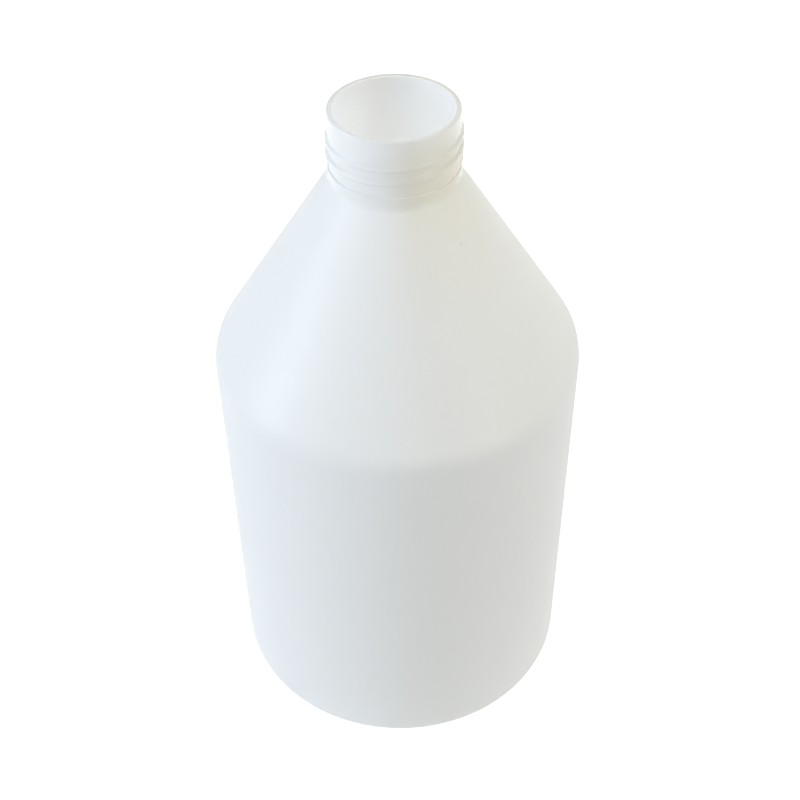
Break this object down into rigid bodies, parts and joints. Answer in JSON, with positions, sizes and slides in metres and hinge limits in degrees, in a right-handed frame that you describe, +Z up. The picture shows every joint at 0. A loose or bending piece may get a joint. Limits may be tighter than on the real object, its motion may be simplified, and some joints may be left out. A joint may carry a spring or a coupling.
{
  "type": "round jug",
  "caption": "Round blown plastic jug with a tall conical shoulder and a short neck, threaded outside for a screw cap. Open mouth, no handle.",
  "frame": {"origin": "centre of the foot ring, on the surface the jug stands on", "axes": "+Z up along the jug's axis and out of the mouth; -Y is the side that the picture shows, and the thread begins 40 degrees from +X towards +Y"},
  "size_m": [0.1, 0.1, 0.188],
  "materials": {
    "natural_polyethylene": "satin natural polyethylene, milky and slightly see-through"
  },
  "bodies": {
    "root": {"jug": "natural_polyethylene"}
  },
  "joints": []
}
